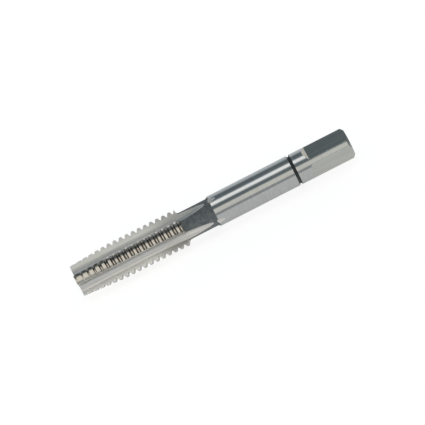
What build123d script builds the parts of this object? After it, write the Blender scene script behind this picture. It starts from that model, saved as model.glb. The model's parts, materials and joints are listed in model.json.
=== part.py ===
"""A right-hand M8 x 1.25 hand tap, the first of its set, ground from one bar of tool steel.

The tap lies along X with its cutting end at X = 0 and its square at +X. Turns about X are
measured from +Y towards +Z. All sizes are in millimetres and degrees.
"""
import os
from math import asin, atan2, ceil, cos, degrees, radians, sin, sqrt, tan

from build123d import *

# Lengths along the tap, from the cutting end
overall_length = 56.0
thread_end = 21.7
shoulder_start = 27.8
shoulder_length = 0.45

# Thread: a first tap is ground under the 8 mm size that its set finishes
crest_diameter = 7.2
pitch = 1.25
thread_depth = 0.6
root_flat = 0.14
flank_angle = 60.0
crest_start = 0.43  # X of the first crest, straight towards +Y

# Lead: the crests taper down to the cutting end and fall away behind each cutting edge
tip_diameter = 6.26
lead_length = 6.4
lead_relief = 5.7

# Back of the thread: a steep face, then a short cone down to the neck
back_face_length = 0.22
back_cone_length = 0.28
back_cone_diameter = 5.74

# Flutes: a wheel with a round edge grinds each one straight, then lifts out up a slope
flute_count = 4
land_angle = 31.4
web_diameter = 3.2
flute_radius = 1.2
rake_angle = 8.0
flute_straight = 14.3
wheel_radius = 70.0
lift_angle = 7.5

# Neck and shank
neck_diameter = 5.4
shank_diameter = 6.0

# Ring round the shank that marks the first tap
ring_from_end = 11.25
ring_width = 0.62
ring_floor = 0.16
ring_depth = 0.32

# Driving square
square_width = 4.9
square_length = 8.0
square_run_out_angle = 36.0
square_turn = 8.2
end_chamfer = 0.5

# Sixty degree centres that the tap is ground between
centre_angle = 60.0
tip_centre_diameter = 1.6
square_centre_diameter = 2.4
centre_drill_diameter = 0.8
centre_drill_depth = 0.9

# How far cutting tools reach past the metal
clearance = 1.0

crest_radius = crest_diameter / 2
root_radius = crest_radius - thread_depth
tip_radius = tip_diameter / 2
neck_radius = neck_diameter / 2
shank_radius = shank_diameter / 2
web_radius = web_diameter / 2
flute_pitch_angle = 360 / flute_count
gap_angle = flute_pitch_angle - land_angle


def direction(turn):
    """The unit vector across the tap at this turn about X."""
    return Vector(0, cos(radians(turn)), sin(radians(turn)))


def lengthwise_plane(turn, origin=(0, 0, 0)):
    """A plane along the tap: local x runs towards the square and local y points outwards."""
    return Plane(origin=origin, x_dir=(1, 0, 0), z_dir=direction(turn + 90))


def cross_plane(x, turn):
    """A plane across the tap at x: local x points outwards at this turn."""
    return Plane(origin=(x, 0, 0), x_dir=direction(turn), z_dir=(1, 0, 0))


def polar(radius, angle):
    """A point in a cross plane."""
    return Vector(radius * cos(radians(angle)), radius * sin(radians(angle)))


def touch_point(outer, centre, radius, side):
    """Where a line from the outer point touches a circle, to the left (+1) or right (-1) of it."""
    to_centre = centre - outer
    reach = sqrt(to_centre.length**2 - radius**2)
    swing = degrees(asin(radius / to_centre.length))
    heading = degrees(atan2(to_centre.Y, to_centre.X)) + side * swing
    return outer + polar(reach, heading)


# The cutting face leans in by the rake angle from the cutting edge, which is half a gap from the
# middle of the flute. The flute's round bottom touches both that face and the web, and this is
# the direction in which the wheel stands over the tap.
cutting_edge = gap_angle / 2
bottom_centre_radius = web_radius + flute_radius
centre_offset = flute_radius - crest_radius * sin(radians(rake_angle))
wheel_turn = cutting_edge - rake_angle - degrees(asin(centre_offset / bottom_centre_radius))

# ---------------------------------------------------------------- tools that shape the tap

with BuildPart() as flute_wheel:
    flute_plane = cross_plane(flute_straight, wheel_turn)
    edge = polar(crest_radius, cutting_edge - wheel_turn)
    heel = polar(crest_radius, -cutting_edge - wheel_turn)
    bottom_centre = polar(bottom_centre_radius, 0)
    face_foot = touch_point(edge, bottom_centre, flute_radius, -1)
    heel_foot = touch_point(heel, bottom_centre, flute_radius, 1)
    face_top = edge + (edge - face_foot).normalized() * clearance * 2
    heel_top = heel + (heel - heel_foot).normalized() * clearance * 2
    with BuildSketch(flute_plane) as flute_section:
        with BuildLine():
            Line(face_top, face_foot)
            ThreePointArc(face_foot, polar(web_radius, 0), heel_foot)
            Line(heel_foot, heel_top)
            Line(heel_top, face_top)
        make_face()
    extrude(amount=-(flute_straight + clearance))
    rim_axis = Axis(flute_plane.from_local_coords((web_radius + wheel_radius, 0, 0)), flute_plane.y_dir)
    revolve(flute_section.sketch, axis=rim_axis, revolution_arc=lift_angle)
    lift_section = flute_section.sketch.rotate(rim_axis, lift_angle)
    extrude(lift_section, amount=(shank_radius + clearance) / sin(radians(lift_angle)))

with BuildPart() as lead_wheel:
    # It swings about an axis set off towards the cutting edge, so the land falls away behind it.
    lead_slope = (crest_radius - tip_radius) / lead_length
    relief_offset = (crest_radius + tip_radius) / 2 * tan(radians(lead_relief))
    lead_run = lead_length + (relief_offset + clearance / 4) / lead_slope
    swing_margin = gap_angle / 6
    lead_axis = Axis(-relief_offset * direction(cutting_edge + 90), (1, 0, 0))
    with BuildSketch(lengthwise_plane(cutting_edge - swing_margin, lead_axis.position)):
        with BuildLine():
            Polyline(
                (-clearance, tip_radius - lead_slope * clearance),
                (lead_run, tip_radius + lead_slope * lead_run),
                (lead_run, crest_radius * 2),
                (-clearance, crest_radius * 2),
                close=True,
            )
        make_face()
    revolve(axis=lead_axis, revolution_arc=land_angle + 2 * swing_margin)

with BuildPart() as thread_wheel:
    # One turn of the groove between two crests. It begins and ends in the air of a flute.
    groove_top = crest_radius + clearance / 4
    half_root = root_flat / 2
    half_top = half_root + (groove_top - root_radius) * tan(radians(flank_angle / 2))
    helix_turn = 90
    with BuildLine() as groove_path:
        Helix(pitch, pitch, root_radius, direction=(1, 0, 0))
    with BuildSketch(lengthwise_plane(helix_turn)) as groove_section:
        with BuildLine():
            Polyline(
                (-half_root, root_radius),
                (half_root, root_radius),
                (half_top, groove_top),
                (-half_top, groove_top),
                close=True,
            )
        make_face()
    sweep(groove_section.sketch, path=groove_path.wire(), is_frenet=True)

# ---------------------------------------------------------------- the tap

with BuildPart() as thread_tap:
    # Turned blank
    back_end = thread_end + back_face_length + back_cone_length
    shoulder_end = shoulder_start + shoulder_length
    ring_centre = overall_length - ring_from_end
    with BuildSketch(Plane.XY):
        with BuildLine():
            Polyline(
                (0, 0),
                (0, crest_radius),
                (thread_end, crest_radius),
                (thread_end + back_face_length, back_cone_diameter / 2),
                (back_end, neck_radius),
                (shoulder_start, neck_radius),
                (shoulder_end, shank_radius),
                (ring_centre - ring_width / 2, shank_radius),
                (ring_centre - ring_floor / 2, shank_radius - ring_depth),
                (ring_centre + ring_floor / 2, shank_radius - ring_depth),
                (ring_centre + ring_width / 2, shank_radius),
                (overall_length - end_chamfer, shank_radius),
                (overall_length, shank_radius - end_chamfer),
                (overall_length, 0),
                close=True,
            )
        make_face()
    revolve(axis=Axis.X)

    # Lead, flutes and thread
    for number in range(flute_count):
        add(lead_wheel.part.rotate(Axis.X, number * flute_pitch_angle), mode=Mode.SUBTRACT)
    for number in range(flute_count):
        add(flute_wheel.part.rotate(Axis.X, number * flute_pitch_angle), mode=Mode.SUBTRACT)
    first_groove = crest_start + pitch * (helix_turn / 360 - 1.5)
    groove_count = ceil((back_end - first_groove) / pitch)
    with Locations(*[(first_groove + pitch * number, 0, 0) for number in range(groove_count)]):
        add(thread_wheel.part, mode=Mode.SUBTRACT)

    # Driving square, each flat with a sloped run-out where its wheel stopped
    half_square = square_width / 2
    square_start = overall_length - square_length
    square_reach = shank_radius + clearance
    run_out = (square_reach - half_square) / tan(radians(square_run_out_angle))
    for number in range(4):
        with BuildSketch(lengthwise_plane(square_turn + 90 * number)):
            with BuildLine():
                Polyline(
                    (overall_length + clearance, half_square),
                    (square_start, half_square),
                    (square_start - run_out, square_reach),
                    (overall_length + clearance, square_reach),
                    close=True,
                )
            make_face()
        extrude(amount=square_reach, both=True, mode=Mode.SUBTRACT)

    # Centres, the cutting end's first
    with Locations(Location((0, 0, 0), (0, -90, 0))):
        CounterSinkHole(
            centre_drill_diameter / 2, tip_centre_diameter / 2,
            depth=centre_drill_depth, counter_sink_angle=centre_angle,
        )
    with Locations(Location((overall_length, 0, 0), (0, 90, 0))):
        CounterSinkHole(
            centre_drill_diameter / 2, square_centre_diameter / 2,
            depth=centre_drill_depth, counter_sink_angle=centre_angle,
        )

thread_tap.part.label = "thread_tap"
os.makedirs("parts", exist_ok=True)
export_step(thread_tap.part, "parts/thread_tap.step")
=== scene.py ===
"""Hand tap on a pale table: the ground body with its finishes, the table, the light and the camera."""

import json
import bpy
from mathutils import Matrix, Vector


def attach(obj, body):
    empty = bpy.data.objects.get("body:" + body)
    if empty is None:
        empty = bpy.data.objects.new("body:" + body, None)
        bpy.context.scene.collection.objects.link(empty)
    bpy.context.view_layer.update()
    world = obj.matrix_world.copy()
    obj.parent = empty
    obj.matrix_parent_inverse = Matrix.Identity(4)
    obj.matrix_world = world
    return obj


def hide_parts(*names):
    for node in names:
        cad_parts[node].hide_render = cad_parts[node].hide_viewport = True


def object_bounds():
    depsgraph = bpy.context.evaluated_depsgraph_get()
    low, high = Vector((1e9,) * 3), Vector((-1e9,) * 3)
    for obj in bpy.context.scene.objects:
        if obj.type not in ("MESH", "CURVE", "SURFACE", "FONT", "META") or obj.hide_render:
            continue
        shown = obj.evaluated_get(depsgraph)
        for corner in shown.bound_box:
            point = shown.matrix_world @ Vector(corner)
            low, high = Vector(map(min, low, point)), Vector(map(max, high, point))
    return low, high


bl_info = {
    "name": "Hand Tap",
    "version": (1, 0, 0),
    "blender": (4, 5, 0),
    "location": "3D View > Sidebar > Hand Tap",
    "description": "Builds a ground hand tap from its turned blank and the wheels that cut it",
    "category": "Object",
}

from functools import cached_property
from math import asin, atan2, ceil, cos, pi, radians, sin, sqrt, tan

import bmesh
import bpy
from bpy.props import FloatProperty, FloatVectorProperty, IntProperty, PointerProperty
from mathutils import Matrix, Vector

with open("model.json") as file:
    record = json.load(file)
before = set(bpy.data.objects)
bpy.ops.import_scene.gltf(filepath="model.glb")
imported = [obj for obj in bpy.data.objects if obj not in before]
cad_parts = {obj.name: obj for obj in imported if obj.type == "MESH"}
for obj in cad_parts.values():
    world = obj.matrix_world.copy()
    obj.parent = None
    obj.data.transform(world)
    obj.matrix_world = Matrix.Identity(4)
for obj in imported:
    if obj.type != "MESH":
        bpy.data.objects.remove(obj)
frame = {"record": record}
CAD_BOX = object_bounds()
MM = 0.001
BODY = "root"
NODE = "thread_tap"
SLOT = "tool_steel"
STEEL = next(m for m in frame["record"]["materials"] if m["slot"] == SLOT)

# How solids are made
SURFACE_NORMAL = "surface_normal"  # where each corner keeps the exact normal of its surface
SHARP_ANGLE = 24  # degrees between two faces that meet in an edge
MERGE_DISTANCE = 1e-5  # in millimetres
FINISHES = (
    "ground_shank", "ground_flute", "ground_face", "ground_thread", "ground_flank",
    "ground_square", "hardened_neck", "hardened_groove", "turned_end",
)
LEAD_STEPS = 48  # round each lead cut
ARC_STEPS = 32  # round the bottom of a flute, and along the arc on which it lifts out
STRAIGHT_STEPS = 16  # along the straight parts of a flute
CENTRE_SEGMENTS = 64
THREAD_START_TURNS = 1.5  # how far ahead of the first crest its groove begins
CENTRE_CLEARANCE = 0.1  # how far the centres' cutters reach past the ends, in millimetres

# How finishes change over the tap, with the painted shade and painted light in the flutes, in
# millimetres
SHANK_RADIUS = 3.0  # turns an angle round the tap into a length
PAINTED_SHADE_OUT = (1.6, 2.1)  # the painted shade deep in the flutes gives way between these distances from the axis
# the painted light on the flute walls and on the cutting faces comes in between these distances from
# the axis
LIT_WALL_OUT = (1.75, 2.55)
LIT_FACE_OUT = (2.0, 2.45)
LIT_WALL_FADE = (20.0, 14.0)  # the painted light on the walls is gone and full at these places along the tap

# Ground steel
GRAZING_TINT = (0.72, 0.73, 0.74)  # it gives back less at a grazing angle
SHANK_TONE = 0.91  # the shank's tone as a share of the record's steel
DULL_TONE, SCRATCH_TONE, EDGE_WEAR_AND_GLINT_TONE = -0.06, 0.10, 0.7  # what marks add, as shares of the tone; edges are brightened where worn and as a painted highlight
STREAK_ROUGHNESS = (0.82, 0.36)  # shares of the roughness: between streaks, and what streaks add
SCRATCH_ROUGHNESS, SCRATCH_HEIGHT = 0.08, -0.6  # added by a scratch

# The skin that hardening leaves
SPECK_TONE, SPECK_COVER = 0.55, 0.35  # a speck's tone as a share of the skin's, and its strength
WORN_EDGE = 0.6  # how much bare steel shows at an edge
SKIN_ROUGHNESS = (0.85, 0.3)  # shares of the roughness: in hollows, and what grains add
SKIN_HEIGHT = 0.004  # in millimetres

TABLE_SCATTER = 0.42  # share of the table's colour that takes light and shadow

# Light over the tap by its angle in degrees: 0 is the front, 90 overhead and 180 the back
FRONT_FILL, FRONT_PANEL = (0.53, 0.56, 0.57), (1.22, 1.19, 1.11)
BACK_GAP, BACK_PANEL = (0.19, 0.23, 0.25), (1.10, 1.16, 1.21)
OVER_BANDS = (
    (0, FRONT_FILL), (16, FRONT_FILL), (21, FRONT_PANEL), (46, FRONT_PANEL),
    (53, (0.25, 0.30, 0.33)), (121, (0.26, 0.31, 0.34)), (124, BACK_GAP), (132, BACK_GAP),
    (140, (0.28, 0.33, 0.36)), (154, (0.72, 0.78, 0.83)), (168, BACK_PANEL), (180, BACK_PANEL),
)
SIDE_FILL, SIDE_GAP = (0.44, 0.415, 0.395), (0.14, 0.15, 0.16)
SIDE_TOP, SIDE_BACK = (0.75, 0.75, 0.75), (1.10, 1.08, 1.05)
SIDE_BANDS = (
    (0, SIDE_FILL), (46, SIDE_FILL), (55, SIDE_GAP), (74, SIDE_GAP), (84, SIDE_TOP),
    (100, SIDE_TOP), (125, SIDE_GAP), (145, SIDE_BACK), (180, SIDE_BACK),
)
STRIP_LIGHT, GLOOM, ENDS_LIGHT = (1.93, 1.93, 1.91), (0.11, 0.125, 0.13), (0.12, 0.13, 0.14)
STRIP_SPAN = (69, 87, 94, 110)  # the strip and the gloom come in, are full, fade and are gone
GLOOM_SPAN = (49, 56, 80, 95)

# Light along the tap by the slant of its direction: -1 is the cutting end, 1 the square end
STRIP_LEFT, STRIP_SIDES = (-0.13, -0.09), (0.36, 0.16)
GLOOM_RIGHT = (-0.030, -0.045)
SIDE_FADE, ENDS_FADE = (0.50, 0.66), (0.93, 0.97)


# ------------------------------------------------------------------ settings


def length(name, description, default_mm):
    return FloatProperty(
        name=name, description=description, default=default_mm * MM, min=0.0,
        precision=5, subtype="DISTANCE", unit="LENGTH",
    )


def angle(name, description, default_degrees):
    return FloatProperty(
        name=name, description=description, default=radians(default_degrees),
        subtype="ANGLE", unit="ROTATION",
    )


def amount(name, description, default):
    return FloatProperty(
        name=name, description=description, default=default, min=0.0, soft_max=1.0, subtype="FACTOR",
    )


def colour(name, description, default):
    return FloatVectorProperty(
        name=name, description=description, default=default, size=3, min=0.0, soft_max=1.0,
        subtype="COLOR",
    )


class TapSizes(bpy.types.PropertyGroup):
    overall_length: length("Overall length", "From the cutting end to the square end", 56.0)
    thread_end: length("Thread end", "Where the full crests stop", 21.7)
    back_face_length: length("Back face", "Length of the steep face behind the thread", 0.22)
    back_cone_length: length("Back cone", "Length of the cone down to the neck", 0.28)
    back_cone_diameter: length("Back cone diameter", "Where the face meets the cone", 5.74)
    shoulder_start: length("Shoulder start", "Where the neck begins to rise", 27.8)
    shoulder_length: length("Shoulder", "Length of the rise from neck to shank", 0.45)
    crest_diameter: length("Crest diameter", "Outside diameter of the thread", 7.2)
    pitch: length("Pitch", "Distance from crest to crest", 1.25)
    thread_depth: length("Thread depth", "From crest to root", 0.6)
    root_flat: length("Root flat", "Width of the flat in the root", 0.14)
    flank_angle: angle("Flank angle", "Angle between the two flanks", 60.0)
    crest_start: length("Crest start", "Place of the first crest along the tap", 0.43)
    tip_diameter: length("Tip diameter", "Diameter of the lead at the cutting end", 6.26)
    lead_length: length("Lead", "Length of the tapered lead", 6.4)
    lead_relief: angle("Lead relief", "How fast the lead falls away behind its edge", 5.7)
    thread_relief: angle("Thread relief", "How fast the thread falls away behind its edge", 0.9)
    flute_count: IntProperty(name="Flutes", description="Number of flutes", default=4, min=2, max=6)
    land_angle: angle("Land angle", "Angle that each land takes round the tap", 31.4)
    web_diameter: length("Web", "Diameter of the core between the flutes", 3.2)
    flute_radius: length("Flute radius", "Radius of the bottom of each flute", 1.2)
    rake_angle: angle("Rake", "Lean of the cutting face", 8.0)
    flute_straight: length("Straight flute", "Where the flutes begin to lift out", 14.3)
    wheel_radius: length("Wheel radius", "Radius of the wheel that grinds the flutes", 70.0)
    lift_angle: angle("Lift angle", "Slope up which the flutes run out", 7.5)
    neck_diameter: length("Neck", "Diameter of the neck", 5.4)
    shank_diameter: length("Shank", "Diameter of the shank", 6.0)
    ring_from_end: length("Ring place", "From the ring groove to the square end", 11.25)
    ring_width: length("Ring width", "Width of the ring groove", 0.62)
    ring_floor: length("Ring floor", "Width of the floor of the ring groove", 0.16)
    ring_depth: length("Ring depth", "Depth of the ring groove", 0.32)
    square_width: length("Square", "Width across the flats", 4.9)
    square_length: length("Square length", "Length of the driving square", 8.0)
    square_run_out: angle("Square run-out", "Slope where each flat ends", 36.0)
    square_turn: angle("Square turn", "Turn of the flats about the tap", 8.2)
    end_chamfer: length("End chamfer", "Chamfer on the square end", 0.5)
    centre_angle: angle("Centre angle", "Angle of the centres at both ends", 60.0)
    tip_centre: length("Cutting end centre", "Mouth of the centre at the cutting end", 1.6)
    square_centre: length("Square end centre", "Mouth of the centre at the square end", 2.4)
    centre_drill: length("Centre drill", "Diameter of the pilot of the centres", 0.8)
    centre_depth: length("Centre depth", "Depth of the pilot of the centres", 0.9)
    clearance: length("Clearance", "How far each wheel reaches past the steel", 1.0)
    segments: IntProperty(name="Segments", description="Facets in a full turn", default=192, min=24)


class TapFinish(bpy.types.PropertyGroup):
    steel: colour("Ground steel", "Colour of ground steel", tuple(STEEL["base_color"][:3]))
    flute_steel: colour(
        "Flute steel", "Colour of the steel where the flutes run out", (0.60, 0.59, 0.565)
    )
    # painted shade: a darker tone deep in the flutes
    flute_deep_shade: colour("Deep flute", "Colour of the steel deep in the flutes", (0.51, 0.515, 0.505))
    # painted light: a lighter tone on the flute walls
    flute_wall_light: colour(
        "Flute wall", "Colour of the steel on the walls of the flutes", (0.80, 0.785, 0.745)
    )
    # painted light: a lighter tone on the cutting faces
    face_light: colour("Cutting face", "Colour of the steel on the cutting faces", (1.0, 0.985, 0.94))
    square_steel: colour("Square steel", "Colour of the steel on the flats", (0.395, 0.40, 0.375))
    thread_steel: colour(
        "Thread steel", "Colour of the steel on the crests and roots", (0.478, 0.455, 0.420)
    )
    flank_steel: colour("Flank steel", "Colour of the steel on the thread flanks", (0.43, 0.41, 0.385))
    neck: colour("Unground neck", "Colour of the neck, as it left hardening", (0.212, 0.236, 0.246))
    neck_bare: colour("Worn neck", "Colour where the scale on the neck is thin", (0.298, 0.325, 0.336))
    end_steel: colour("End steel", "Colour of the turned ends", (0.24, 0.25, 0.255))
    # near black: the groove's oxide, darkened further as painted shade in the groove
    groove: colour("Ring groove", "Colour in the ring groove", (0.09, 0.098, 0.102))
    shank_roughness: amount("Shank roughness", "Roughness of the ground shank", 0.11)
    flute_roughness: amount("Flute roughness", "Roughness of the ground flutes", 0.42)
    face_roughness: amount("Face roughness", "Roughness of the cutting faces", 0.42)
    thread_roughness: amount("Thread roughness", "Roughness of the ground thread", 0.12)
    square_roughness: amount("Square roughness", "Roughness of the ground flats", 0.18)
    end_roughness: amount("End roughness", "Roughness of the turned ends", 0.30)
    neck_roughness: amount("Neck roughness", "Roughness of the unground neck", 0.85)
    line_spacing: length("Grinding lines", "From one grinding line to the next", 0.045)
    edge_radius: length("Edge radius", "How far the ground edges are broken", 0.045)


class StudioSettings(bpy.types.PropertyGroup):
    camera_distance: length("Camera distance", "From the tap's axis to the camera", 376.0)
    camera_place: length("Camera place", "Where the camera stands along the tap", 33.8)
    aim_place: length("Aim", "Where along the tap the camera looks", 27.863)
    aim_drop: length("Aim drop", "How far below the axis the camera looks", 0.093)
    camera_elevation: angle("Camera elevation", "Height of the camera above the table", 37.7)
    camera_roll: angle("Camera roll", "Lean of the tap in the picture", 27.11)
    view_width: length("View width", "Width that the camera takes in at the tap", 77.95)
    table_colour: colour("Table", "Colour of the table", (0.95, 0.95, 0.95))
    table_glow: amount("Table glow", "How much of the table's white is its own", 0.80)


# ------------------------------------------------------------------ node helpers


class Nodes:
    """Adds nodes to a tree and links them in one line each."""

    def __init__(self, tree):
        self.tree = tree

    def add(self, kind, inputs=None, **options):
        node = self.tree.nodes.new(kind)
        for key, value in options.items():
            setattr(node, key, value)
        for key, value in (inputs or {}).items():
            self.feed(node, key, value)
        return node

    def feed(self, node, key, value):
        socket = node.inputs[key]
        if isinstance(value, bpy.types.NodeSocket):
            self.tree.links.new(value, socket)
        else:
            socket.default_value = value

    def math(self, operation, *values, clamp=False):
        node = self.add("ShaderNodeMath", operation=operation, use_clamp=clamp)
        for number, value in enumerate(values):
            self.feed(node, number, value)
        return node.outputs[0]

    def ramp(self, value, *stops):
        """A colour ramp with stops of (place, colour)."""
        node = self.add("ShaderNodeValToRGB", {0: value})
        elements = node.color_ramp.elements
        for place, _ in stops[1:-1]:
            elements.new(place)
        elements[0].position, elements[-1].position = stops[0][0], stops[-1][0]
        for element, (_, shade) in zip(elements, stops):
            element.color = (*shade, 1.0)
        return node.outputs[0]

    def mix(self, factor, first, second):
        node = self.add("ShaderNodeMix", data_type="RGBA")
        self.feed(node, 0, factor)
        for key, value in ((6, first), (7, second)):
            if not isinstance(value, bpy.types.NodeSocket) and len(value) == 3:
                value = (*value, 1.0)
            self.feed(node, key, value)
        return node.outputs[2]

    def scale(self, tone, factor):
        """A colour, fixed or changing, made lighter or darker by a factor."""
        node = self.add("ShaderNodeVectorMath", operation="SCALE")
        self.feed(node, 0, tone)
        self.feed(node, "Scale", factor)
        return node.outputs[0]

    def smooth_step(self, value, low, high):
        node = self.add(
            "ShaderNodeMapRange", {0: value, 1: low, 2: high}, interpolation_type="SMOOTHSTEP"
        )
        return node.outputs[0]


# ------------------------------------------------------------------ solids
# Solids are made in millimetres with the angle about X measured from +Y towards +Z, and each
# keeps its own exact surface normals through the cuts.


def direction(turn):
    return Vector((0.0, cos(turn), sin(turn)))


def solid_from_rows(name, rows, finishes, capped=True):
    """A solid from rows of points, each row a closed loop. finishes gives the finish of the
    face between points j and j + 1 of rows i and i + 1."""
    count, row_count = len(rows[0]), len(rows)
    verts = [point for row in rows for point in row]
    faces, finish_of = [], []
    for i in range(row_count - 1):
        for j in range(count):
            here, next_row, beside = i * count, (i + 1) * count, (j + 1) % count
            faces.append((here + j, here + beside, next_row + beside, next_row + j))
            finish_of.append(finishes(i, j))
    if capped:
        faces.append(tuple(reversed(range(count))))
        faces.append(tuple(range((row_count - 1) * count, row_count * count)))
        finish_of += [finishes(0, 0), finishes(0, 0)]
    return mesh_solid(name, verts, faces, finish_of)


def mesh_solid(name, verts, faces, finish_of):
    mesh = bpy.data.meshes.new(name)
    mesh.from_pydata([tuple(v) for v in verts], [], faces)
    mesh.polygons.foreach_set("material_index", [FINISHES.index(f) for f in finish_of])
    for finish in FINISHES:
        mesh.materials.append(bpy.data.materials[finish])
    bm = bmesh.new()
    bm.from_mesh(mesh)
    bmesh.ops.remove_doubles(bm, verts=bm.verts, dist=MERGE_DISTANCE)
    bmesh.ops.recalc_face_normals(bm, faces=bm.faces)
    bm.to_mesh(mesh)
    bm.free()
    mesh.shade_smooth()
    mesh.set_sharp_from_angle(angle=radians(SHARP_ANGLE))
    kept = mesh.attributes.new(SURFACE_NORMAL, "FLOAT_VECTOR", "CORNER")
    normals = [0.0] * (3 * len(mesh.loops))
    mesh.corner_normals.foreach_get("vector", normals)
    kept.data.foreach_set("vector", normals)
    return mesh


def lathe(name, profile, segments, step=0.75):
    """A turned solid. profile is a list of (x, radius, finish up to the next point)."""
    stations = []
    for (x0, r0, finish), (x1, r1, _) in zip(profile, profile[1:]):
        parts = max(1, ceil(abs(x1 - x0) / step)) if r0 > 0 and r1 > 0 else 1
        for part in range(parts):
            share = part / parts
            stations.append((x0 + (x1 - x0) * share, r0 + (r1 - r0) * share, finish))
    stations.append(profile[-1])
    rows = [
        [Vector((x, 0, 0)) + r * direction(2 * pi * k / segments) for k in range(segments)]
        for x, r, _ in stations
    ]
    return solid_from_rows(name, rows, lambda i, j: stations[i][2], capped=False)


class Cutter:
    """Cuts one mesh after another from a body with boolean modifiers."""

    def __init__(self, body_mesh):
        self.body = bpy.data.objects.new("body_in_work", body_mesh)
        bpy.context.scene.collection.objects.link(self.body)

    def cut(self, mesh, turn=0.0):
        tool = bpy.data.objects.new(mesh.name, mesh.copy())
        if turn:
            rotation = Matrix.Rotation(turn, 4, "X")
            tool.data.transform(rotation)
            for item in tool.data.attributes[SURFACE_NORMAL].data:
                item.vector = rotation @ Vector(item.vector)
        bpy.context.scene.collection.objects.link(tool)
        modifier = self.body.modifiers.new("cut", "BOOLEAN")
        modifier.operation = "DIFFERENCE"
        modifier.solver = "MANIFOLD"
        modifier.object = tool
        bpy.context.view_layer.update()
        graph = bpy.context.evaluated_depsgraph_get()
        made = bpy.data.meshes.new_from_object(self.body.evaluated_get(graph))
        self.body.modifiers.clear()
        if not len(made.polygons):
            raise RuntimeError(f"cutting with {mesh.name} left nothing")
        self.body.data = made
        bpy.data.objects.remove(tool)

    def finished(self):
        mesh = self.body.data
        bpy.data.objects.remove(self.body)
        return mesh


def touch_point(outer, centre, radius, side):
    """Where a line from the outer point touches a circle, to the left (+1) or right (-1) of it."""
    to_centre = centre - outer
    reach = sqrt(to_centre.length_squared - radius * radius)
    heading = atan2(to_centre.y, to_centre.x) + side * asin(radius / to_centre.length)
    return outer + reach * Vector((cos(heading), sin(heading)))


def polar(radius, turn):
    return Vector((radius * cos(turn), radius * sin(turn)))


# ------------------------------------------------------------------ finishes
# The groups work in millimetres: along the tap, out from its axis, and round it.


def new_group(name, inputs, outputs):
    """An empty shader group. inputs and outputs are lists of (name, kind, default)."""
    group = bpy.data.node_groups.new(name, "ShaderNodeTree")
    for side, sockets in (("INPUT", inputs), ("OUTPUT", outputs)):
        for label, kind, default in sockets:
            socket = group.interface.new_socket(
                name=label, in_out=side, socket_type=f"NodeSocket{kind}"
            )
            if default is not None:
                socket.default_value = default
    nodes = Nodes(group)
    return nodes, nodes.add("NodeGroupInput").outputs, nodes.add("NodeGroupOutput")


def round_the_tap():
    """Turns a place in metres into millimetres along, out from and round the axis."""
    nodes, given, result = new_group(
        "round_the_tap",
        [("Place", "Vector", None)],
        [("Along", "Float", None), ("Out", "Float", None), ("Around", "Float", None)],
    )
    parts = nodes.add("ShaderNodeSeparateXYZ", {0: given["Place"]}).outputs
    along, across, up = (nodes.math("MULTIPLY", parts[key], 1 / MM) for key in "XYZ")
    square_across = nodes.math("MULTIPLY", across, across)
    square_up = nodes.math("MULTIPLY", up, up)
    out = nodes.math("SQRT", nodes.math("ADD", square_across, square_up))
    turn = nodes.math("ARCTAN2", up, across)
    nodes.feed(result, "Along", along)
    nodes.feed(result, "Out", out)
    nodes.feed(result, "Around", nodes.math("MULTIPLY", turn, SHANK_RADIUS))


def grinding_lines():
    """Fine lines left by a wheel: a height, and slow streaks for tone and roughness."""
    nodes, given, result = new_group(
        "grinding_lines",
        [("Across", "Float", 0.0), ("Beside", "Float", 0.0), ("Lengthwise", "Float", 0.0),
         ("Spacing", "Float", 0.05), ("Length", "Float", 4.0)],
        [("Height", "Float", None), ("Streaks", "Float", None)],
    )
    levels = []
    for spread, stretch, detail in ((1.0, 1.0, 4.0), (7.0, 2.5, 2.0)):
        spacing = nodes.math("MULTIPLY", given["Spacing"], spread)
        run = nodes.math("MULTIPLY", given["Length"], stretch)
        vector = nodes.add(
            "ShaderNodeCombineXYZ",
            {
                "X": nodes.math("DIVIDE", given["Across"], spacing),
                "Y": nodes.math("DIVIDE", given["Beside"], spacing),
                "Z": nodes.math("DIVIDE", given["Lengthwise"], run),
            },
        ).outputs[0]
        noise = nodes.add(
            "ShaderNodeTexNoise", {"Vector": vector, "Scale": 1.0, "Detail": detail, "Roughness": 0.6}
        )
        levels.append(noise.outputs[0])
    nodes.feed(result, "Height", levels[0])
    blend = nodes.math(
        "ADD", nodes.math("MULTIPLY", levels[1], 0.65), nodes.math("MULTIPLY", levels[0], 0.35)
    )
    nodes.feed(result, "Streaks", nodes.smooth_step(blend, low=0.34, high=0.66))


def handling_marks():
    """Sparse hair scratches and dull finger marks, as two masks."""
    nodes, given, result = new_group(
        "handling_marks",
        [("Place", "Vector", None), ("Scratch Width", "Float", 0.03), ("Mark Size", "Float", 3.0)],
        [("Scratches", "Float", None), ("Dullness", "Float", None)],
    )
    scratches = None
    for number, turn in enumerate(((0.35, 0.9, 0.2), (-0.5, 0.3, 1.1), (0.9, -0.4, 0.6))):
        turned = nodes.add(
            "ShaderNodeMapping",
            {"Vector": given["Place"], "Rotation": turn, "Location": (number * 0.013, 0.0, 0.0)},
        ).outputs[0]
        parts = nodes.add("ShaderNodeSeparateXYZ", {0: turned}).outputs
        width, run = nodes.math("MULTIPLY", given["Scratch Width"], MM), 3 * MM
        vector = nodes.add(
            "ShaderNodeCombineXYZ",
            {
                "X": nodes.math("DIVIDE", parts["X"], width),
                "Y": nodes.math("DIVIDE", parts["Y"], run),
                "Z": nodes.math("DIVIDE", parts["Z"], run),
            },
        ).outputs[0]
        noise = nodes.add("ShaderNodeTexNoise", {"Vector": vector, "Scale": 1.0, "Detail": 1.0})
        line = nodes.smooth_step(noise.outputs[0], low=0.74, high=0.80)
        scratches = line if scratches is None else nodes.math("MAXIMUM", scratches, line)
    size = nodes.math("DIVIDE", 1 / MM, given["Mark Size"])
    patches = nodes.add(
        "ShaderNodeTexNoise",
        {"Vector": given["Place"], "Scale": size, "Detail": 4.0, "Roughness": 0.65, "Distortion": 0.6},
    ).outputs[0]
    nodes.feed(result, "Scratches", scratches)
    nodes.feed(result, "Dullness", nodes.smooth_step(patches, low=0.48, high=0.70))


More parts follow.
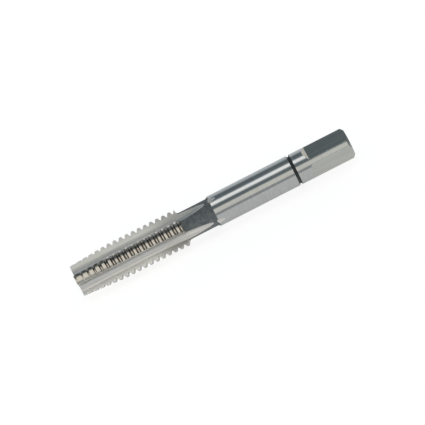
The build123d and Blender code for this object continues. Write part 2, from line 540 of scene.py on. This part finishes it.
def broken_edges():
    """The surface normal rounded at the edges, and a mask along them."""
    nodes, given, result = new_group(
        "broken_edges",
        [("Radius", "Float", 0.00003)],
        [("Normal", "Vector", None), ("Edge", "Float", None)],
    )
    bevel = nodes.add("ShaderNodeBevel", {"Radius": given["Radius"]}, samples=4).outputs[0]
    flat = nodes.add("ShaderNodeNewGeometry").outputs["Normal"]
    likeness = nodes.add("ShaderNodeVectorMath", {0: bevel, 1: flat}, operation="DOT_PRODUCT")
    turned = nodes.math("SUBTRACT", 1.0, likeness.outputs["Value"])
    nodes.feed(result, "Normal", bevel)
    nodes.feed(result, "Edge", nodes.smooth_step(turned, low=0.01, high=0.12))


def hardening_scale():
    """The mottled skin that hardening leaves: cloud, specks and a height."""
    nodes, given, result = new_group(
        "hardening_scale",
        [("Place", "Vector", None), ("Cloud Size", "Float", 1.6), ("Speck Size", "Float", 0.20)],
        [("Cloud", "Float", None), ("Specks", "Float", None), ("Height", "Float", None)],
    )
    clouds = nodes.add(
        "ShaderNodeTexNoise",
        {"Vector": given["Place"], "Scale": nodes.math("DIVIDE", 1 / MM, given["Cloud Size"]),
         "Detail": 5.0, "Roughness": 0.6, "Distortion": 0.4},
    ).outputs[0]
    grain_scale = nodes.math("DIVIDE", 1 / MM, given["Speck Size"])
    grains = nodes.add(
        "ShaderNodeTexVoronoi", {"Vector": given["Place"], "Scale": grain_scale, "Randomness": 1.0}
    ).outputs["Distance"]
    fine = nodes.add(
        "ShaderNodeTexNoise",
        {"Vector": given["Place"], "Scale": grain_scale, "Detail": 3.0, "Roughness": 0.7},
    ).outputs[0]
    nodes.feed(result, "Cloud", nodes.smooth_step(clouds, low=0.34, high=0.66))
    nodes.feed(result, "Specks", nodes.smooth_step(grains, low=0.42, high=0.12))
    height = nodes.math("ADD", nodes.math("MULTIPLY", fine, 0.7), nodes.math("MULTIPLY", grains, 0.3))
    nodes.feed(result, "Height", height)


GROUP_MAKERS = (round_the_tap, grinding_lines, handling_marks, broken_edges, hardening_scale)


def shaded(tone, factor):
    return tuple(channel * factor for channel in tone)


class Finish:
    """A material in work: its shader, its coordinates and the groups placed in it."""

    def __init__(self, name):
        self.material = bpy.data.materials.new(name)
        self.material.use_nodes = True
        self.nodes = Nodes(self.material.node_tree)
        self.shader = self.material.node_tree.nodes["Principled BSDF"]
        self.shader.inputs["Metallic"].default_value = 1.0
        self.shader.inputs["Specular Tint"].default_value = (*GRAZING_TINT, 1.0)
        self.place = self.nodes.add("ShaderNodeTexCoord").outputs["Object"]

    @cached_property
    def axial(self):
        """The place as millimetres Along, Out from and Around the axis."""
        return self.group("round_the_tap", Place=self.place)

    def group(self, name, **inputs):
        node = self.nodes.add("ShaderNodeGroup")
        node.node_tree = bpy.data.node_groups[name]
        for key, value in inputs.items():
            self.nodes.feed(node, key.replace("_", " "), value)
        return node.outputs

    def lines(self, look, way, length_mm, spread=1.0):
        """Grinding lines round the tap, lengthwise on it or across its end. spread widens them."""
        along, out, around = (self.axial[key] for key in ("Along", "Out", "Around"))
        if way == "round":
            across, beside, lengthwise = along, out, around
        elif way == "lengthwise":
            parts = self.nodes.add("ShaderNodeSeparateXYZ", {0: self.place}).outputs
            across, beside = (self.nodes.math("MULTIPLY", parts[key], 1 / MM) for key in "YZ")
            lengthwise = along
        else:
            across, beside, lengthwise = out, along, around
        return self.group(
            "grinding_lines", Across=across, Beside=beside, Lengthwise=lengthwise,
            Spacing=look.line_spacing / MM * spread, Length=length_mm,
        )

    def ground(self, look, tone, roughness, lines, spread=0.10, wear_and_glint=0.35, depth=0.0006, dull=0.5):
        """Ground steel: streaks in tone and roughness, hair scratches, dull marks, edges brightened
        where worn and as a painted highlight.
        """
        nodes = self.nodes
        marks = self.group("handling_marks", Place=self.place)
        edges = self.group("broken_edges", Radius=look.edge_radius)
        streaks = nodes.math("MULTIPLY_ADD", lines["Streaks"], 2 * spread, 1 - spread)
        shade = nodes.math("MULTIPLY_ADD", marks["Dullness"], DULL_TONE * dull, streaks)
        shade = nodes.math("MULTIPLY_ADD", marks["Scratches"], SCRATCH_TONE, shade)
        # edges brightened where worn and as a painted highlight
        shade = nodes.math("MULTIPLY_ADD", edges["Edge"], EDGE_WEAR_AND_GLINT_TONE * wear_and_glint, shade)
        nodes.feed(self.shader, "Base Color", nodes.scale(tone, shade))
        smooth, streaked = (roughness * share for share in STREAK_ROUGHNESS)
        rough = nodes.math("MULTIPLY_ADD", lines["Streaks"], streaked, smooth)
        rough = nodes.math("MULTIPLY_ADD", marks["Dullness"], roughness * dull, rough)
        rough = nodes.math("MULTIPLY_ADD", marks["Scratches"], SCRATCH_ROUGHNESS, rough, clamp=True)
        nodes.feed(self.shader, "Roughness", rough)
        height = nodes.math("MULTIPLY_ADD", marks["Scratches"], SCRATCH_HEIGHT, lines["Height"])
        self.bump(height, depth, edges["Normal"])

    def bump(self, height, depth, normal):
        node = self.nodes.add(
            "ShaderNodeBump",
            {"Height": height, "Distance": depth * MM, "Strength": 1.0, "Normal": normal},
        )
        self.nodes.feed(self.shader, "Normal", node.outputs[0])

    def hardened(self, look, dark, bare, roughness):
        """Steel with the skin that hardening leaves."""
        nodes = self.nodes
        scale = self.group("hardening_scale", Place=self.place, Cloud_Size=0.8)
        edges = self.group("broken_edges", Radius=look.edge_radius)
        clouded = nodes.mix(scale["Cloud"], dark, bare)
        specks = nodes.math("MULTIPLY", scale["Specks"], SPECK_COVER)
        specked = nodes.mix(specks, clouded, shaded(dark, SPECK_TONE))
        worn = nodes.mix(nodes.math("MULTIPLY", edges["Edge"], WORN_EDGE), specked, look.steel)
        nodes.feed(self.shader, "Base Color", worn)
        smooth, grained = (roughness * share for share in SKIN_ROUGHNESS)
        grain = nodes.math("MULTIPLY", scale["Height"], grained)
        nodes.feed(self.shader, "Roughness", nodes.math("ADD", smooth, grain))
        self.bump(scale["Height"], SKIN_HEIGHT, edges["Normal"])


# ------------------------------------------------------------------ operators


class TAP_OT_camera(bpy.types.Operator):
    """Places the camera over the tap, leaning so that the tap runs up to the right"""

    bl_idname = "tap.camera"
    bl_label = "Place Camera"

    def execute(self, context):
        studio = context.scene.tap_studio
        elevation, roll = studio.camera_elevation, studio.camera_roll
        place = Vector((studio.camera_place, 0, 0)) + studio.camera_distance * Vector(
            (0, -cos(elevation), sin(elevation))
        )
        over = Vector((0, sin(elevation), cos(elevation)))
        aim = Vector((studio.aim_place, 0, 0)) - studio.aim_drop * over
        ahead = (aim - place).normalized()
        along = (Vector((1, 0, 0)) - ahead * ahead.x).normalized()
        up = along.cross(ahead)
        right_axis = cos(roll) * along - sin(roll) * up
        up_axis = sin(roll) * along + cos(roll) * up
        data = bpy.data.cameras.new("camera")
        data.sensor_width = 36.0
        data.lens = data.sensor_width * (aim - place).length / studio.view_width
        data.clip_start = 0.01
        camera = bpy.data.objects.new("camera", data)
        camera.matrix_world = Matrix(
            (
                (right_axis.x, up_axis.x, -ahead.x, place.x),
                (right_axis.y, up_axis.y, -ahead.y, place.y),
                (right_axis.z, up_axis.z, -ahead.z, place.z),
                (0, 0, 0, 1),
            )
        )
        context.scene.collection.objects.link(camera)
        context.scene.camera = camera
        return {"FINISHED"}


class TAP_OT_finishes(bpy.types.Operator):
    """Makes the materials for each kind of surface on the tap"""

    bl_idname = "tap.finishes"
    bl_label = "Make Finishes"

    def execute(self, context):
        look = context.scene.tap_finish
        for maker in GROUP_MAKERS:
            maker()
        shank = Finish("ground_shank")
        shank_lines = shank.lines(look, "round", length_mm=6.0)
        shank_tone = shaded(look.steel, SHANK_TONE)
        shank.ground(look, shank_tone, look.shank_roughness, shank_lines, spread=0.05)
        self.flute_finish("ground_flute", look, look.flute_wall_light, look.flute_roughness, LIT_WALL_OUT)
        self.flute_finish("ground_face", look, look.face_light, look.face_roughness, LIT_FACE_OUT)
        flank_roughness = look.thread_roughness * 1.3
        for name, tone, roughness in (
            ("ground_thread", look.thread_steel, look.thread_roughness),
            ("ground_flank", look.flank_steel, flank_roughness),
        ):
            thread = Finish(name)
            thread_lines = thread.lines(look, "round", length_mm=3.0, spread=0.7)
            # the thread's edges are brightened strongly: a painted highlight on crests and cutting
            # edges, and worn edges
            thread.ground(look, tone, roughness, thread_lines, spread=0.06, depth=0.0004, wear_and_glint=1.2)
        square = Finish("ground_square")
        flat_lines = square.lines(look, "lengthwise", length_mm=5.0, spread=1.4)
        square.ground(look, look.square_steel, look.square_roughness, flat_lines,
                      spread=0.06, depth=0.0008, dull=0.2)
        end = Finish("turned_end")
        turned_lines = end.lines(look, "end", length_mm=5.0, spread=2.0)
        end.ground(look, look.end_steel, look.end_roughness, turned_lines, spread=0.08, depth=0.0012)
        Finish("hardened_neck").hardened(look, look.neck, look.neck_bare, look.neck_roughness)
        # the groove's near-black tone is oxide deepened with painted shade
        worn_groove = shaded(look.groove, 1.6)
        Finish("hardened_groove").hardened(look, look.groove, worn_groove, look.neck_roughness)
        return {"FINISHED"}

    def flute_finish(self, name, look, lit_tone, wall_roughness, lit_out):
        """A flute darkens towards its bottom with painted shade, is lightened on its walls with painted
        light, and evens out where the wheel leaves the steel.
        """
        flute = Finish(name)
        nodes, along, out = flute.nodes, flute.axial["Along"], flute.axial["Out"]
        # painted light on the walls, faded out along the tap
        fade = nodes.smooth_step(along, *LIT_WALL_FADE)
        wall = nodes.math("MULTIPLY", nodes.smooth_step(out, *lit_out), fade)
        # painted shade towards the bottom of the flute
        bottom = nodes.mix(nodes.smooth_step(out, *PAINTED_SHADE_OUT), look.flute_deep_shade, look.flute_steel)
        tone = nodes.mix(wall, bottom, lit_tone)
        flute_lines = flute.lines(look, "lengthwise", length_mm=10.0, spread=2.4)
        flute.ground(look, tone, wall_roughness, flute_lines, spread=0.13, depth=0.0022, dull=0.2)


class TAP_OT_body(bpy.types.Operator):
    """Grinds the tap from its turned blank: lead, flutes, thread, square and centres"""

    bl_idname = "tap.body"
    bl_label = "Build Tap"

    def execute(self, context):
        s = context.scene.tap_sizes
        work = Cutter(self.blank(s))
        step = 2 * pi / s.flute_count
        for wheel in (self.lead_wheel(s), self.flute_wheel(s)):
            for number in range(s.flute_count):
                work.cut(wheel, number * step)
        work.cut(self.thread_wheel(s))
        square = self.square_wheel(s)
        for number in range(4):
            work.cut(square, s.square_turn + number * pi / 2)
        for centre in self.centres(s):
            work.cut(centre)
        mesh = work.finished()
        mesh.name = "tap_body"
        self.true_normals(mesh, s.thread_relief)
        piece = bpy.data.objects.new("tap_body", mesh)
        context.scene.collection.objects.link(piece)
        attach(piece, BODY)
        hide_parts(NODE)
        return {"FINISHED"}

    def blank(self, s):
        u = 1 / MM
        crest, neck, shank = (d * u / 2 for d in (s.crest_diameter, s.neck_diameter, s.shank_diameter))
        end, ring = s.overall_length * u, (s.overall_length - s.ring_from_end) * u
        chamfer = s.end_chamfer * u
        thread_end, shoulder = s.thread_end * u, s.shoulder_start * u
        half_ring, half_floor = s.ring_width * u / 2, s.ring_floor * u / 2
        floor = shank - s.ring_depth * u
        back = (s.thread_end + s.back_face_length) * u
        profile = [
            (0, 0, "turned_end"),
            (0, crest, "ground_thread"),
            (thread_end, crest, "ground_thread"),
            (back, s.back_cone_diameter * u / 2, "hardened_neck"),
            (back + s.back_cone_length * u, neck, "hardened_neck"),
            (shoulder, neck, "hardened_neck"),
            (shoulder + s.shoulder_length * u, shank, "ground_shank"),
            (ring - half_ring, shank, "hardened_groove"),
            (ring - half_floor, floor, "hardened_groove"),
            (ring + half_floor, floor, "hardened_groove"),
            (ring + half_ring, shank, "ground_shank"),
            (end - chamfer, shank, "turned_end"),
            (end, shank - chamfer, "turned_end"),
            (end, 0, "turned_end"),
        ]
        return lathe("blank", profile, s.segments)

    def lead_wheel(self, s):
        u = 1 / MM
        crest, tip, lead = s.crest_diameter * u / 2, s.tip_diameter * u / 2, s.lead_length * u
        clear = s.clearance * u
        gap = 2 * pi / s.flute_count - s.land_angle
        edge = gap / 2
        slope = (crest - tip) / lead
        offset = (crest + tip) / 2 * tan(s.lead_relief)
        run = lead + (offset + clear / 4) / slope
        margin = gap / 6
        centre = -offset * direction(edge + pi / 2)
        high = crest * 2
        section = [(-clear, tip - slope * clear), (run, tip + slope * run), (run, high), (-clear, high)]
        sweep = s.land_angle + 2 * margin
        rows = []
        for k in range(LEAD_STEPS + 1):
            out = direction(edge - margin + sweep * k / LEAD_STEPS)
            rows.append([Vector((x, 0, 0)) + centre + r * out for x, r in section])
        return solid_from_rows("lead_wheel", rows, lambda i, j: "ground_thread")

    def flute_wheel(self, s):
        u = 1 / MM
        crest, web, bottom = s.crest_diameter * u / 2, s.web_diameter * u / 2, s.flute_radius * u
        clear, wheel, straight = s.clearance * u, s.wheel_radius * u, s.flute_straight * u
        edge = (2 * pi / s.flute_count - s.land_angle) / 2
        centre_reach = web + bottom
        turn = edge - s.rake_angle - asin((bottom - crest * sin(s.rake_angle)) / centre_reach)
        face_tip, heel_tip = polar(crest, edge - turn), polar(crest, -edge - turn)
        centre = Vector((centre_reach, 0.0))
        face_foot = touch_point(face_tip, centre, bottom, -1)
        heel_foot = touch_point(heel_tip, centre, bottom, 1)
        face_top = face_tip + (face_tip - face_foot).normalized() * clear * 2
        heel_top = heel_tip + (heel_tip - heel_foot).normalized() * clear * 2
        start = atan2(face_foot.y - centre.y, face_foot.x - centre.x) % (2 * pi)
        stop = atan2(heel_foot.y - centre.y, heel_foot.x - centre.x) % (2 * pi)
        arc = [
            centre + polar(bottom, start + (stop - start) * k / ARC_STEPS) for k in range(ARC_STEPS + 1)
        ]
        section = [face_top, *arc, heel_top]
        out, side = direction(turn), direction(turn + pi / 2)
        rows = [
            [Vector((x, 0, 0)) + p.x * out + p.y * side for p in section]
            for x in (
                -clear + k * (straight + clear) / STRAIGHT_STEPS for k in range(STRAIGHT_STEPS)
            )
        ]
        for k in range(ARC_STEPS + 1):
            swing = s.lift_angle * k / ARC_STEPS
            row = []
            for p in section:
                reach = web + wheel - p.x
                row.append(
                    Vector((straight + reach * sin(swing), 0, 0))
                    + (web + wheel - reach * cos(swing)) * out
                    + p.y * side
                )
            rows.append(row)
        rise = s.shank_diameter * u / 2 + clear
        slope = rise / tan(s.lift_angle) * Vector((1, 0, 0)) + rise * out
        rows += [
            [point + slope * k / STRAIGHT_STEPS for point in rows[-1]]
            for k in range(1, STRAIGHT_STEPS + 1)
        ]
        middle = ARC_STEPS // 2
        return solid_from_rows(
            "flute_wheel", rows, lambda i, j: "ground_face" if j <= middle else "ground_flute"
        )

    def thread_wheel(self, s):
        u = 1 / MM
        crest, pitch, clear = s.crest_diameter * u / 2, s.pitch * u, s.clearance * u
        root = crest - s.thread_depth * u
        top = crest + clear / 4
        half_root = s.root_flat * u / 2
        half_top = half_root + (top - root) * tan(s.flank_angle / 2)
        section = [(-half_root, root), (half_root, root), (half_top, top), (-half_top, top)]
        first_turn = pi / 2
        first = s.crest_start * u + pitch * (first_turn / (2 * pi) - THREAD_START_TURNS)
        end = (s.thread_end + s.back_face_length + s.back_cone_length) * u
        count = ceil((end - first) / pitch)
        rows = []
        for k in range(count * s.segments + 1):
            share = k / s.segments
            out = direction(first_turn + 2 * pi * share)
            rows.append([Vector((first + pitch * share + x, 0, 0)) + r * out for x, r in section])
        sides = ("ground_thread", "ground_flank", "ground_thread", "ground_flank")
        return solid_from_rows("thread_wheel", rows, lambda i, j: sides[j])

    def square_wheel(self, s):
        u = 1 / MM
        end, half = s.overall_length * u, s.square_width * u / 2
        start = end - s.square_length * u
        reach = s.shank_diameter * u / 2 + s.clearance * u
        run = (reach - half) / tan(s.square_run_out)
        past = end + s.clearance * u
        section = [(past, half), (start, half), (start - run, reach), (past, reach)]
        rows = [[Vector((x, r, w)) for x, r in section] for w in (-reach, reach)]
        return solid_from_rows("square_wheel", rows, lambda i, j: "ground_square")

    def centres(self, s):
        u = 1 / MM
        slope = tan(s.centre_angle / 2)
        tip, square, drill = s.tip_centre * u / 2, s.square_centre * u / 2, s.centre_drill * u / 2
        depth, end, clear = s.centre_depth * u, s.overall_length * u, CENTRE_CLEARANCE
        first = [
            (-clear, 0), (-clear, tip + clear * slope), ((tip - drill) / slope, drill),
            (depth, drill), (depth, tip - depth * slope), (tip / slope, 0),
        ]
        second = [(end + clear, 0), (end + clear, square + clear * slope), (end - square / slope, 0)]
        return [
            lathe(name, [(x, r, "turned_end") for x, r in profile], CENTRE_SEGMENTS)
            for name, profile in (("cutting_centre", first), ("square_centre", second))
        ]

    def true_normals(self, mesh, relief):
        """Scales to metres and gives each corner the exact normal of the surface it was cut by.
        The thread's normals lean by its relief, which is too slight to show in the outline."""
        kept = mesh.attributes[SURFACE_NORMAL].data
        lean = Matrix.Rotation(relief, 3, "X")
        relieved = {FINISHES.index("ground_thread"), FINISHES.index("ground_flank")}
        normals = []
        for face in mesh.polygons:
            for corner in face.loop_indices:
                normal = Vector(kept[corner].vector).normalized()
                if face.material_index in relieved:
                    normal = lean @ normal
                normals.append(normal if normal.dot(face.normal) >= 0 else -normal)
        mesh.attributes.remove(mesh.attributes[SURFACE_NORMAL])
        mesh.transform(Matrix.Scale(MM, 4))
        mesh.shade_smooth()
        mesh.normals_split_custom_set(normals)


class TAP_OT_stage(bpy.types.Operator):
    """Lays the table and lights it like a small studio"""

    bl_idname = "tap.stage"
    bl_label = "Build Stage"

    def execute(self, context):
        studio = context.scene.tap_studio
        mesh = bpy.data.meshes.new("table")
        half, height = 3.0, CAD_BOX[0].z
        corners = [(x * half, y * half, height) for x, y in ((-1, -1), (1, -1), (1, 1), (-1, 1))]
        mesh.from_pydata(corners, [], [(0, 1, 2, 3)])
        table = bpy.data.objects.new("table", mesh)
        context.scene.collection.objects.link(table)
        mesh.materials.append(self.table_material(studio))
        self.world(context)
        return {"FINISHED"}

    def table_material(self, studio):
        material = bpy.data.materials.new("table")
        material.use_nodes = True
        nodes = Nodes(material.node_tree)
        shader = material.node_tree.nodes["Principled BSDF"]
        shader.inputs["Base Color"].default_value = (*studio.table_colour, 1.0)
        shader.inputs["Roughness"].default_value = 0.9
        shader.inputs["Specular IOR Level"].default_value = 0.0
        rays = nodes.add("ShaderNodeLightPath").outputs
        seen = nodes.math("MAXIMUM", rays["Is Camera Ray"], rays["Is Glossy Ray"])
        seen = nodes.math("MAXIMUM", seen, rays["Is Transmission Ray"])
        white = nodes.add("ShaderNodeEmission", {"Color": (1, 1, 1, 1), "Strength": studio.table_glow})
        faint = shaded(studio.table_colour, TABLE_SCATTER)
        thin = nodes.add("ShaderNodeBsdfDiffuse", {"Color": (*faint, 1)})
        lit = nodes.add("ShaderNodeAddShader", {0: thin.outputs[0], 1: white.outputs[0]})
        mixed = nodes.add("ShaderNodeMixShader", {0: seen, 1: shader.outputs[0], 2: lit.outputs[0]})
        nodes.feed(material.node_tree.nodes["Material Output"], "Surface", mixed.outputs[0])
        return material

    def world(self, context):
        """Soft light in long bands over the tap, with a bright strip overhead."""
        world = bpy.data.worlds.new("studio")
        context.scene.world = world
        world.use_nodes = True
        nodes = Nodes(world.node_tree)
        place = nodes.add("ShaderNodeTexCoord").outputs["Generated"]
        split = nodes.add("ShaderNodeSeparateXYZ", {0: place}).outputs
        climb = nodes.math("ARCTAN2", split["Z"], nodes.math("MULTIPLY", split["Y"], -1.0))
        share = nodes.math("DIVIDE", climb, pi)
        aside = nodes.math("ABSOLUTE", split["X"])

        def between(start, full, fading, stop):
            """A mask from one angle over the tap to another, with soft ends."""
            rise = nodes.smooth_step(share, start / 180, full / 180)
            return nodes.math("MULTIPLY", rise, nodes.smooth_step(share, stop / 180, fading / 180))

        gloomy = nodes.smooth_step(split["X"], *GLOOM_RIGHT)
        gloom = nodes.math("MULTIPLY", between(*GLOOM_SPAN), gloomy)
        light = nodes.mix(gloom, self.bands(nodes, share, OVER_BANDS), GLOOM)
        past_left = nodes.smooth_step(split["X"], *STRIP_LEFT)
        within = nodes.math("MULTIPLY", past_left, nodes.smooth_step(aside, *STRIP_SIDES))
        strip = nodes.math("MULTIPLY", between(*STRIP_SPAN), within)
        light = nodes.mix(strip, light, STRIP_LIGHT)
        sides = self.bands(nodes, share, SIDE_BANDS)
        light = nodes.mix(nodes.smooth_step(aside, *SIDE_FADE), light, sides)
        light = nodes.mix(nodes.smooth_step(aside, *ENDS_FADE), light, ENDS_LIGHT)
        nodes.feed(world.node_tree.nodes["Background"], "Color", light)

    def bands(self, nodes, share, stops):
        """Light that changes with the angle over the tap, from stops in degrees."""
        return nodes.ramp(share, *[(angle_over / 180, shade) for angle_over, shade in stops])


class TAP_PT_panel(bpy.types.Panel):
    bl_label = "Hand Tap"
    bl_idname = "TAP_PT_panel"
    bl_space_type = "VIEW_3D"
    bl_region_type = "UI"
    bl_category = "Hand Tap"

    def draw(self, context):
        for operator in OPERATORS:
            self.layout.operator(operator.bl_idname)
        for settings in ("tap_sizes", "tap_finish", "tap_studio"):
            group = getattr(context.scene, settings)
            box = self.layout.box()
            for key in group.__annotations__:
                box.prop(group, key)


GROUPS = (TapSizes, TapFinish, StudioSettings)
OPERATORS = (TAP_OT_camera, TAP_OT_finishes, TAP_OT_body, TAP_OT_stage)
CLASSES = (*GROUPS, *OPERATORS, TAP_PT_panel)


def register():
    for item in CLASSES:
        bpy.utils.register_class(item)
    bpy.types.Scene.tap_sizes = PointerProperty(type=TapSizes)
    bpy.types.Scene.tap_finish = PointerProperty(type=TapFinish)
    bpy.types.Scene.tap_studio = PointerProperty(type=StudioSettings)


def unregister():
    del bpy.types.Scene.tap_sizes, bpy.types.Scene.tap_finish, bpy.types.Scene.tap_studio
    for item in reversed(CLASSES):
        bpy.utils.unregister_class(item)


def main():
    register()
    bpy.context.scene.view_settings.view_transform = "Standard"
    bpy.ops.tap.camera()
    bpy.ops.tap.finishes()
    bpy.ops.tap.body()
    bpy.ops.tap.stage()


if __name__ == "__main__":
    main()
